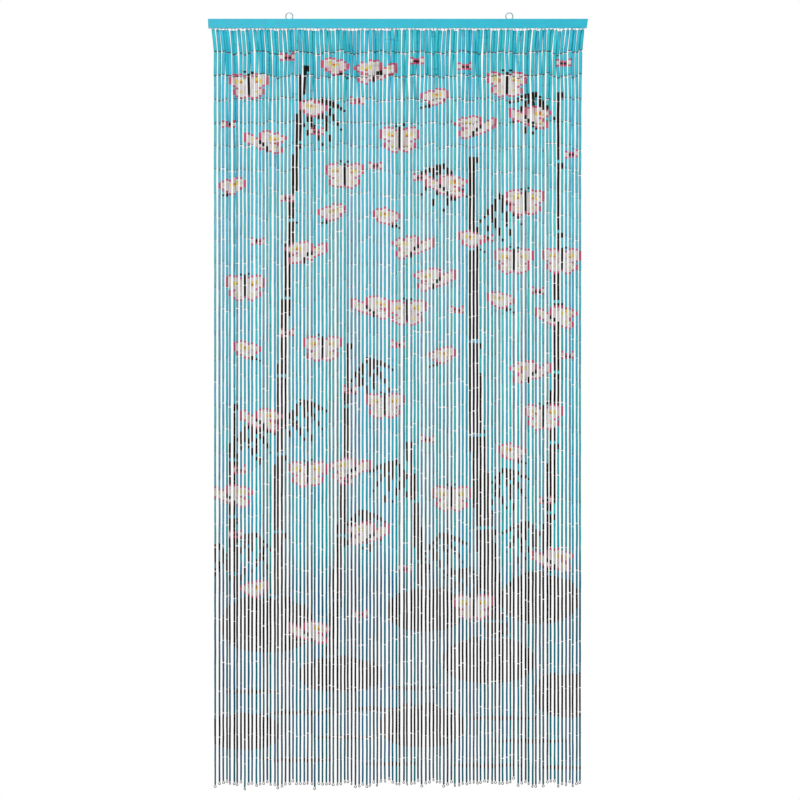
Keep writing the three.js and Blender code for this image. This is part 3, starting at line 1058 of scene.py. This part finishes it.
def new_material(name, metallic, values=None):
    """A material with its Principled shader, and its node tree ready for more nodes."""
    material = bpy.data.materials.new(name)
    material.use_nodes = True
    material.node_tree.nodes.clear()
    make = Tree(material.node_tree)
    shader = make.add("ShaderNodeBsdfPrincipled", {"Metallic": metallic, **(values or {})})
    output = make.add("ShaderNodeOutputMaterial")
    make.tree.links.new(shader.outputs[0], output.inputs["Surface"])
    return material, make, shader


def dress(make, shader, colour, roughness, height, relief):
    """Joins a colour, a roughness and a raised surface to a Principled shader."""
    bump = make.add("ShaderNodeBump", {"Strength": 1.0, "Distance": relief, "Height": height})
    make.tree.links.new(colour, shader.inputs["Base Color"])
    make.tree.links.new(roughness, shader.inputs["Roughness"])
    make.tree.links.new(bump.outputs[0], shader.inputs["Normal"])


def rail_material(colours, groups):
    """Turquoise paint on pine, brushed along the rail and rubbed a little at its long edges."""
    _, make, shader = new_material("painted_rail", 0.0, {"Specular IOR Level": PAINT_GLOSS})
    place = make.object_place()
    paint = make.use(
        groups["paint"],
        {
            "Vector": place,
            "Paint": tuple(colours.rail_paint),
            "Grain scale": RAIL_GRAIN,
            "Unevenness": RAIL_UNEVENNESS,
            "Roughness": RAIL_ROUGHNESS,
        },
    ).outputs
    middle = (RAIL_LOW + RAIL_HIGH) / 2
    half = (RAIL_HIGH - RAIL_LOW) / 2
    _, y, z = make.split(make.vector("SUBTRACT", place, tuple(middle)))
    near_y = make.over(make.math("ABSOLUTE", y), half.y)
    near_z = make.over(make.math("ABSOLUTE", z), half.z)
    edge = make.ranged(make.times(near_y, near_z), *RAIL_RUBBED)
    values = {"Vector": place, "Chips per metre": RAIL_CHIPS_PER_METRE, "Amount": RAIL_CHIPS}
    rubbed = make.times(edge, make.use(groups["chips"], values).outputs[0])
    colour = make.mixed(rubbed, paint["Colour"], tuple(colours.bare_bamboo))
    dress(make, shader, colour, paint["Roughness"], paint["Height"], RAIL_RELIEF)


def ground_colour(make, colours, depth, tone):
    """The ground colour by height, with each strand and tube a little off in lightness, hue and greyness."""
    ramp = make.add("ShaderNodeValToRGB", {0: depth})
    elements = ramp.color_ramp.elements
    elements[0].color = colours.ground_top
    elements[1].color = colours.ground_foot
    for name, position in GROUND_STOPS.items():
        elements.new(position).color = getattr(colours, name)
    lightness, hue, greyness = make.split(tone)
    swing = make.plus(TOP_STRAYING, depth)
    lighter = make.plus(1.0, make.times(make.times(lightness, swing), LIGHTNESS_STRAYING))
    greener = make.times(hue, swing)
    greener = make.joined(greener, greener, greener)
    tint = make.vector("MULTIPLY_ADD", greener, tuple(colours.hue_swing), (1.0, 1.0, 1.0))
    ground = make.vector("MULTIPLY", make.scaled(ramp.outputs[0], lighter), tint)
    darker = make.minus(WEATHERED_LIGHTNESS, make.times(depth, WEATHERED_DARKENING))
    weathered = make.scaled(tuple(colours.weathered)[:3], darker)
    greyed = make.times(greyness, make.times(swing, GREYNESS_STRAYING))
    return make.mixed(greyed, ground, weathered)


def design_colour(make, colours, depth, tone, place, paint):
    """The colour of the painted design, from the class of paint of each band."""
    share = make.over(make.plus(paint, 0.5), float(PAINTS))
    card = make.add("ShaderNodeValToRGB", {0: share})
    card.color_ramp.interpolation = "CONSTANT"
    card.color_ramp.elements.remove(card.color_ramp.elements[1])
    for number, name in enumerate(("dark", "white", "rose", "yellow", "orange"), start=DARK):
        card.color_ramp.elements.new(number / PAINTS).color = getattr(colours, name)
    lightness, _, greyness = make.split(tone)
    blotches = make.noise(place, BLOTCHES_PER_METRE, 1.0)
    is_white = make.math("COMPARE", paint, float(WHITE), 0.1)
    blush = make.times(make.times(make.ranged(blotches, *BLUSH_BLOTCHES), BLUSH), is_white)
    colour = make.mixed(blush, card.outputs[0], tuple(colours.rose))
    is_dark = make.math("COMPARE", paint, float(DARK), 0.1)
    rubbed = make.times(make.times(greyness, make.times(depth, RUBBED_GREY)), is_dark)
    colour = make.mixed(rubbed, colour, tuple(colours.rubbed_dark))
    lower = make.minus(1.0, make.times(depth, DESIGN_DARKENING))
    return make.scaled(colour, make.plus(lower, make.times(lightness, DESIGN_STRAYING)))


def bamboo_material(colours, groups):
    """Painted bamboo: ground and design by height and band, painted shade at the tube ends by the joints,
    chips in the paint and bare cut faces.
    """
    _, make, shader = new_material("painted_bamboo", 0.0, {"Specular IOR Level": PAINT_GLOSS})
    place = make.object_place()
    _, _, z = make.split(place)
    depth = make.ranged(z, RAIL_BOTTOM, cad_low.z)
    tone = make.surface_value("tone", "Vector")
    paint = make.surface_value("paint")
    ground = ground_colour(make, colours, depth, tone)
    design = design_colour(make, colours, depth, tone, place, paint)
    colour = make.mixed(make.math("GREATER_THAN", paint, 0.5), ground, design)
    brushed = make.use(
        groups["paint"],
        {
            "Vector": place,
            "Paint": colour,
            "Grain scale": TUBE_GRAIN,
            "Unevenness": TUBE_UNEVENNESS,
            "Roughness": TUBE_ROUGHNESS,
        },
    ).outputs

    rings = make.noise(make.vector("MULTIPLY", place, GROWTH_RINGS), 1.0, 2.0)
    growth = make.ranged(rings, *GROWTH_SHOWN)
    values = {"Vector": place, "Chips per metre": TUBE_CHIPS_PER_METRE, "Amount": TUBE_CHIPS}
    chips = make.use(groups["chips"], values).outputs[0]
    worn_and_shaded = make.mixed(chips, brushed["Colour"], tuple(colours.bare_bamboo))
    worn_and_shaded = make.mixed(make.times(growth, GROWTH_COLOUR), worn_and_shaded, tuple(colours.tarnish))

    # Painted shade at the joints: the tube ends are darkened towards the bore colour, most at the close
    # joints near the rail
    from_top, from_foot, _ = make.split(make.surface_value("ends", "Vector"))
    ragged = make.times(make.minus(brushed["Height"], 0.5), END_RAGGEDNESS)
    near_foot = make.ranged(make.plus(from_foot, ragged), END_SHADE_LENGTH, 0.5 * END_SHADE_LENGTH)
    near_top = make.ranged(make.plus(from_top, ragged), 0.5 * END_SHADE_LENGTH, 0.2 * END_SHADE_LENGTH)
    near = make.math("MAXIMUM", near_foot, make.times(near_top, TOP_END_STRENGTH))
    faded = make.minus(END_STRENGTH, make.times(make.ranged(depth, *END_FADING_DEPTH), END_FADING))
    worn_and_shaded = make.mixed(make.times(near, faded), worn_and_shaded, tuple(colours.bore))

    cut = make.surface_value("cut_face")
    cut_colour = make.mixed(rings, tuple(colours.bare_bamboo), tuple(colours.bore))
    colour = make.mixed(cut, worn_and_shaded, cut_colour)
    height = make.minus(brushed["Height"], make.times(growth, GROWTH_DEPTH))
    dress(make, shader, colour, brushed["Roughness"], height, TUBE_RELIEF)


def wire_material(name, wire_colour, colours, groups, amount):
    """Drawn steel wire, with more dull spots for a larger amount."""
    _, make, shader = new_material(name, 1.0)
    values = {"Vector": make.object_place(), "Wire": tuple(wire_colour), "Tarnish": tuple(colours.tarnish)}
    wire = make.use(groups["wire"], {**values, "Amount": amount}).outputs
    dress(make, shader, wire["Colour"], wire["Roughness"], wire["Height"], WIRE_RELIEF)


def floor_material():
    """A plain pale floor."""
    values = {"Roughness": 0.9, "Specular IOR Level": 0.0, "Emission Color": WHITE_LIGHT}
    material, make, shader = new_material("pale_floor", 0.0, values)
    place = make.object_place()
    speckle = make.noise(place, SPECKLES_PER_METRE, 2.0)
    colour = make.mixed(speckle, FLOOR_DARKER, FLOOR_LIGHTER)
    seen = make.add("ShaderNodeLightPath").outputs["Is Camera Ray"]
    unlit = make.mixed(seen, colour, NO_LIGHT)
    make.tree.links.new(unlit, shader.inputs["Base Color"])
    make.tree.links.new(seen, shader.inputs["Emission Strength"])
    return material


def finishes(context):
    """Every finish of the curtain by name, each built once."""
    if "painted_bamboo" not in bpy.data.materials:
        colours = context.scene.curtain_colours
        paint = brushed_paint_group(grain_group())
        groups = {"paint": paint, "chips": chips_group(), "wire": drawn_wire_group()}
        rail_material(colours, groups)
        bamboo_material(colours, groups)
        wire_material("link_wire", colours.bright_wire, colours, groups, LINK_TARNISH)
        wire_material("ring_wire", colours.bright_wire, colours, groups, RING_TARNISH_AND_SHADE)
        wire_material("loop_wire", colours.loop_wire, colours, groups, LOOP_TARNISH)
    return bpy.data.materials


def point_mesh(name, places, rows):
    """A mesh of loose points, each with its own row of named numbers and vectors."""
    mesh = bpy.data.meshes.new(name)
    mesh.from_pydata(places, [], [])
    for label, first in rows[0].items():
        values = [row[label] for row in rows]
        if isinstance(first, float):
            mesh.attributes.new(label, "FLOAT", "POINT").data.foreach_set("value", values)
        else:
            flat = [part for value in values for part in value]
            mesh.attributes.new(label, "FLOAT_VECTOR", "POINT").data.foreach_set("vector", flat)
    return mesh


def placed(name, data):
    """A new object in the scene."""
    made = bpy.data.objects.new(name, data)
    bpy.context.scene.collection.objects.link(made)
    return made


def grown(name, tree, points, inputs):
    """The piece that a geometry tree makes from a mesh of points, as a plain mesh at the origin."""
    piece = placed(name, points)
    modifier = piece.modifiers.new(tree.name, "NODES")
    modifier.node_group = tree
    for item in tree.interface.items_tree:
        if item.item_type == "SOCKET" and item.in_out == "INPUT" and item.name in inputs:
            modifier[item.identifier] = inputs[item.name]
    depsgraph = bpy.context.evaluated_depsgraph_get()
    evaluated = piece.evaluated_get(depsgraph)
    mesh = bpy.data.meshes.new_from_object(evaluated, preserve_all_data_layers=True, depsgraph=depsgraph)
    piece.modifiers.clear()
    piece.data = mesh
    mesh.name = name
    if not mesh.polygons:
        raise RuntimeError(f"{name} has no faces")
    return piece


def hand_over(piece, slot, *nodes):
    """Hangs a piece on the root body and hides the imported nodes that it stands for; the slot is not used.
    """
    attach(piece, "root")
    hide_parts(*nodes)


def chunks(items, count):
    """The items in a set number of runs of nearly the same length."""
    size = math.ceil(len(items) / count)
    return [items[start : start + size] for start in range(0, len(items), size)]


def tube_tone(strand, tube):
    """How far a tube strays in lightness, hue and greyness, partly as its whole strand does."""
    tone = []
    for of_strand, of_tube in ((FOR_STRAND_LIGHTNESS, FOR_TUBE_LIGHTNESS), (FOR_STRAND_HUE, FOR_TUBE_HUE)):
        tone.append(STRAND_TONE * spread(strand, 0, of_strand) + TUBE_TONE * spread(strand, tube, of_tube))
    strand_grey = STRAND_GREY * chance(strand, 0, FOR_STRAND_GREYNESS) ** 5
    return (*tone, strand_grey + TUBE_GREY * chance(strand, tube, FOR_TUBE_GREYNESS) ** 3)


def tube_points(name, strands, sizes, picture):
    """Points for the tubes of some strands, and how many cells of the map they take across and down."""
    count = len(strands) * TUBES
    down = math.ceil(math.sqrt(count / TUBE_CELL_SHAPE))
    across = math.ceil(count / down)
    rows = []
    for strand in strands:
        joints = strand_joints(strand)
        for tube in range(TUBES):
            top = joints[tube] - half_gap(strand, tube)
            foot = joints[tube + 1] + half_gap(strand, tube + 1)
            bands = bands_of(picture.paint[strand], RAIL_BOTTOM - top.z, RAIL_BOTTOM - foot.z)
            banded = len(bands) > PLAIN_BANDS
            bands = evened(bands, PAINTED_BANDS if banded else PLAIN_BANDS)
            cuts = cuts_of(bands)
            cell_down, cell_across = divmod(len(rows), across)
            bend_x, bend_y = spread(strand, tube, FOR_BEND_X), spread(strand, tube, FOR_BEND_Y)
            rows.append(
                {
                    "make_radius": tube_radius(sizes, strand, tube),
                    "make_banded": float(banded),
                    "make_code": float(code_of(bands)),
                    "make_top": top,
                    "make_foot": foot,
                    "make_upper_cuts": cuts[:3],
                    "make_lower_cuts": cuts[3:],
                    "make_bend": (sizes.tube_bend * bend_x, sizes.tube_bend * bend_y, 0),
                    "make_cell": (cell_across / across, cell_down / down, 0),
                    "tone": tube_tone(strand, tube),
                }
            )
    return point_mesh(name, [row["make_top"] for row in rows], rows), across, down


def wire_inputs(radius, neck, sweep, steps, wire, sides):
    """What the wire eyes of one kind have in common."""
    return {"Radius": radius, "Neck": neck, "Sweep": sweep, "Steps": steps, "Wire": wire, "Wire sides": sides}


def hang_wires(context, node, kind, eyes, material, inputs):
    """Makes one piece of wire eyes, each given by its place, its turn and its stretch."""
    name = f"{node}_{kind}"
    rows = [{"make_turn": turn, "make_stretch": stretch} for _, turn, stretch in eyes]
    points = point_mesh(name, [place for place, _, _ in eyes], rows)
    tree = bpy.data.node_groups.get("Wire eyes") or wire_tree()
    inputs = {**inputs, "Material": finishes(context)[material]}
    hand_over(grown(name, tree, points, inputs), "steel_wire", node)


class MakeRailFinish(bpy.types.Operator):
    """Paints the wooden rail"""

    bl_idname = "flyscreen.rail_finish"
    bl_label = "Rail finish"

    def execute(self, context):
        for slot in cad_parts["rail"].material_slots:
            slot.material = finishes(context)["painted_rail"]
        return {"FINISHED"}


class MakeTubes(bpy.types.Operator):
    """Makes the painted bamboo tubes of both rows"""

    bl_idname = "flyscreen.tubes"
    bl_label = "Bamboo tubes"

    def execute(self, context):
        sizes = context.scene.curtain_sizes
        picture = painted_picture()
        tree = tube_tree()
        for node in ROWS:
            for number, strands in enumerate(chunks(strands_of(node), PIECES_PER_ROW), start=1):
                name = f"{node}_tubes_{number}"
                points, across, down = tube_points(name, strands, sizes, picture)
                inputs = {
                    "Sides": sizes.tube_sides,
                    "Shoulder": sizes.tube_shoulder,
                    "Bore": sizes.bore_share,
                    "Lumpiness": sizes.lumpiness,
                    "Seed": TUBE_SEED,
                    "Cells across": float(across),
                    "Cells down": float(down),
                    "Material": finishes(context)["painted_bamboo"],
                }
                hand_over(grown(name, tree, points, inputs), "bamboo_paint", node)
        return {"FINISHED"}


class MakeLinks(bpy.types.Operator):
    """Makes the wire eyes that link the tubes of each strand"""

    bl_idname = "flyscreen.links"
    bl_label = "Wire links"

    def execute(self, context):
        sizes = context.scene.curtain_sizes
        radius, wire = sizes.link_radius, sizes.link_wire
        reach = Vector((0, 0, 2 * radius - wire / 2))
        inputs = wire_inputs(radius, LINK_NECK, LINK_SWEEP, LINK_STEPS, wire, LINK_SIDES)
        for node in ROWS:
            eyes = []
            for strand in strands_of(node):
                for number, joint in enumerate(strand_joints(strand)[1:-1], start=1):
                    yaw = math.pi * chance(strand, number, FOR_LINK_YAW)
                    eyes.append((joint + reach, (0, 0, yaw), UNSTRETCHED))
                    eyes.append((joint - reach, (math.pi, 0, yaw + math.pi / 2), UNSTRETCHED))
            hang_wires(context, node, "links", eyes, "link_wire", inputs)
        return {"FINISHED"}


class MakeHooks(bpy.types.Operator):
    """Makes the staples under the rail and the hook eyes that hang in them"""

    bl_idname = "flyscreen.hooks"
    bl_label = "Staples and hook eyes"

    def execute(self, context):
        sizes = context.scene.curtain_sizes
        wire, eye_wire = sizes.staple_wire, sizes.link_wire
        staple = wire_inputs(sizes.staple_radius, HOOK_NECK, STAPLE_SWEEP, HOOK_STEPS, wire, HOOK_SIDES)
        eye = wire_inputs(sizes.link_radius, HOOK_NECK, HOOK_SWEEP, HOOK_STEPS, eye_wire, HOOK_SIDES)
        staple_bar = RAIL_BOTTOM + STAPLE_DEPTH - 2 * sizes.staple_radius
        eye_bar = staple_bar + wire / 2 + eye_wire / 2
        for node in ROWS:
            staples, eyes = [], []
            for strand in strands_of(node):
                hook = strand_joints(strand)[0]
                yaw = STAPLE_TURN * spread(strand, 0, FOR_STAPLE_YAW)
                place = Vector((hook.x, hook.y, RAIL_BOTTOM + STAPLE_DEPTH))
                staples.append((place, (0, 0, yaw), UNSTRETCHED))
                tube_top = hook.z - JOINT_GAP / 2 - sizes.tube_shoulder
                stretch = max(eye_bar - tube_top, eye_wire) / (2 * sizes.link_radius)
                foot = Vector((hook.x, hook.y, tube_top))
                eyes.append((foot, (math.pi, 0, yaw + math.pi / 2), (1, 1, stretch)))
            # The staples and hook eyes wear the darker ring wire, partly as painted shade under the rail
            hang_wires(context, node, "staples", staples, "ring_wire", staple)
            hang_wires(context, node, "hook_eyes", eyes, "ring_wire", eye)
        return {"FINISHED"}


class MakeFootRings(bpy.types.Operator):
    """Makes the open wire ring at the foot of each strand"""

    bl_idname = "flyscreen.foot_rings"
    bl_label = "Foot rings"

    def execute(self, context):
        sizes = context.scene.curtain_sizes
        radius = (sizes.ring_diameter - sizes.ring_wire) / 2
        neck = sizes.ring_neck + 2 * sizes.ring_wire
        inputs = wire_inputs(radius, neck, RING_SWEEP, RING_STEPS, sizes.ring_wire, RING_SIDES)
        for node in ROWS:
            rings = []
            for strand in strands_of(node):
                end = strand_joints(strand)[-1] + Vector((0, 0, JOINT_GAP / 2))
                place = end - Vector((0, 0, sizes.ring_neck + sizes.ring_wire / 2))
                tilt = RING_TILT * spread(strand, 0, FOR_RING_TILT)
                lean = RING_TILT * spread(strand, 0, FOR_RING_LEAN)
                yaw = RING_YAW * spread(strand, 0, FOR_RING_YAW)
                rings.append((place, (tilt, lean, yaw), UNSTRETCHED))
            hang_wires(context, node, "foot_rings", rings, "ring_wire", inputs)
        return {"FINISHED"}


class MakeHangingLoops(bpy.types.Operator):
    """Makes the two round wire loops that the curtain hangs by"""

    bl_idname = "flyscreen.hanging_loops"
    bl_label = "Hanging loops"

    def execute(self, context):
        sizes = context.scene.curtain_sizes
        for node, (low, high) in LOOP_BOXES.items():
            middle = (low + high) / 2
            centre = Vector((middle.x, middle.y, RAIL_HIGH.z + sizes.loop_centre))
            radius = high.z - centre.z - sizes.loop_wire / 2
            dip = math.asin(sizes.loop_centre / radius)
            leg_x = radius * math.cos(dip)
            bend_z = -sizes.loop_centre - LOOP_LEG_BEND
            end_z = -sizes.loop_centre - sizes.loop_leg
            path = [centre + Vector((-leg_x, 0, z)) for z in (end_z, bend_z)]
            for step in range(LOOP_STEPS + 1):
                angle = math.pi + dip - (math.pi + 2 * dip) * step / LOOP_STEPS
                path.append(centre + radius * Vector((math.cos(angle), 0, math.sin(angle))))
            path += [centre + Vector((leg_x, 0, z)) for z in (bend_z, end_z)]
            curve = bpy.data.curves.new(node + "_wire", "CURVE")
            curve.dimensions = "3D"
            curve.bevel_depth = sizes.loop_wire / 2
            curve.bevel_resolution = 5
            curve.use_fill_caps = True
            spline = curve.splines.new("POLY")
            spline.points.add(len(path) - 1)
            for point, place in zip(spline.points, path):
                point.co = (*place, 1)
            holder = bpy.data.objects.new(node + "_wire", curve)
            mesh = bpy.data.meshes.new_from_object(holder)
            bpy.data.objects.remove(holder)
            mesh.shade_smooth()
            mesh.materials.clear()
            mesh.materials.append(finishes(context)["loop_wire"])
            hand_over(placed(node + "_wire", mesh), "steel_wire", node)
        return {"FINISHED"}


def area_light(name, place, target, size, power):
    """A soft square light that points at a target and doesn't itself show."""
    light = bpy.data.lights.new(name, "AREA")
    light.size = size
    light.energy = power
    holder = placed(name, light)
    direction = Vector(target) - Vector(place)
    turn = direction.to_track_quat("-Z", "Y").to_matrix().to_4x4()
    holder.matrix_world = Matrix.Translation(place) @ turn
    holder.visible_camera = False


class MakeStage(bpy.types.Operator):
    """Makes the camera, the soft lights, the white surround and the pale floor"""

    bl_idname = "flyscreen.stage"
    bl_label = "Stage"

    def execute(self, context):
        stage = context.scene.curtain_stage
        camera = bpy.data.cameras.new("camera")
        camera.lens = stage.lens
        camera.clip_end = 100
        holder = placed("camera", camera)
        target = Vector((stage.view_right, 0, -stage.view_drop))
        away = stage.view_width * stage.lens / camera.sensor_width
        holder.location = target + Vector((0, -away, 0))
        holder.rotation_euler = (math.pi / 2, 0, 0)
        context.scene.camera = holder

        for kind, (place, size) in LIGHTS.items():
            aim = TOP_LIGHT_TARGET if kind == "top" else target
            area_light(f"{kind}_light", place, aim, size, getattr(stage, f"{kind}_power"))

        world = bpy.data.worlds.new("white_surround")
        world.use_nodes = True
        world.node_tree.nodes.clear()
        make = Tree(world.node_tree)
        seen = make.add("ShaderNodeLightPath").outputs["Is Camera Ray"]
        strength = make.plus(stage.sky_light, make.times(seen, 1.0 - stage.sky_light))
        shade = make.add("ShaderNodeBackground", {"Color": WHITE_LIGHT, "Strength": strength})
        make.add("ShaderNodeOutputWorld", {"Surface": shade.outputs[0]})
        context.scene.world = world
        context.scene.view_settings.view_transform = "Standard"

        mesh = bpy.data.meshes.new("floor")
        half = stage.floor_size / 2
        level = cad_low.z - stage.floor_gap
        corners = [(-half, -half, level), (half, -half, level), (half, half, level), (-half, half, level)]
        mesh.from_pydata(corners, [], [(0, 1, 2, 3)])
        mesh.materials.append(floor_material())
        placed("floor", mesh)
        return {"FINISHED"}


OPERATORS = (MakeStage, MakeRailFinish, MakeHangingLoops, MakeHooks, MakeTubes, MakeLinks, MakeFootRings)


class CurtainPanel(bpy.types.Panel):
    """Lists the steps that make the curtain, and its sizes and colours"""

    bl_idname = "FLYSCREEN_PT_curtain"
    bl_label = "Fly screen curtain"
    bl_space_type = "VIEW_3D"
    bl_region_type = "UI"
    bl_category = "Curtain"

    def draw(self, context):
        for operator in OPERATORS:
            self.layout.operator(operator.bl_idname)
        for name in ("curtain_sizes", "curtain_colours", "curtain_stage"):
            group = getattr(context.scene, name)
            box = self.layout.box()
            for label in group.__annotations__:
                box.prop(group, label)


CLASSES = (CurtainSizes, CurtainColours, CurtainStage, *OPERATORS, CurtainPanel)


def register():
    for part in CLASSES:
        bpy.utils.register_class(part)
    bpy.types.Scene.curtain_sizes = bpy.props.PointerProperty(type=CurtainSizes)
    bpy.types.Scene.curtain_colours = bpy.props.PointerProperty(type=CurtainColours)
    bpy.types.Scene.curtain_stage = bpy.props.PointerProperty(type=CurtainStage)


def unregister():
    del bpy.types.Scene.curtain_stage
    del bpy.types.Scene.curtain_colours
    del bpy.types.Scene.curtain_sizes
    for part in reversed(CLASSES):
        bpy.utils.unregister_class(part)


def main():
    """Makes the whole curtain."""
    register()
    bpy.ops.flyscreen.stage()
    bpy.ops.flyscreen.rail_finish()
    bpy.ops.flyscreen.hanging_loops()
    bpy.ops.flyscreen.hooks()
    bpy.ops.flyscreen.tubes()
    bpy.ops.flyscreen.links()
    bpy.ops.flyscreen.foot_rings()


if __name__ == "__main__":
    main()
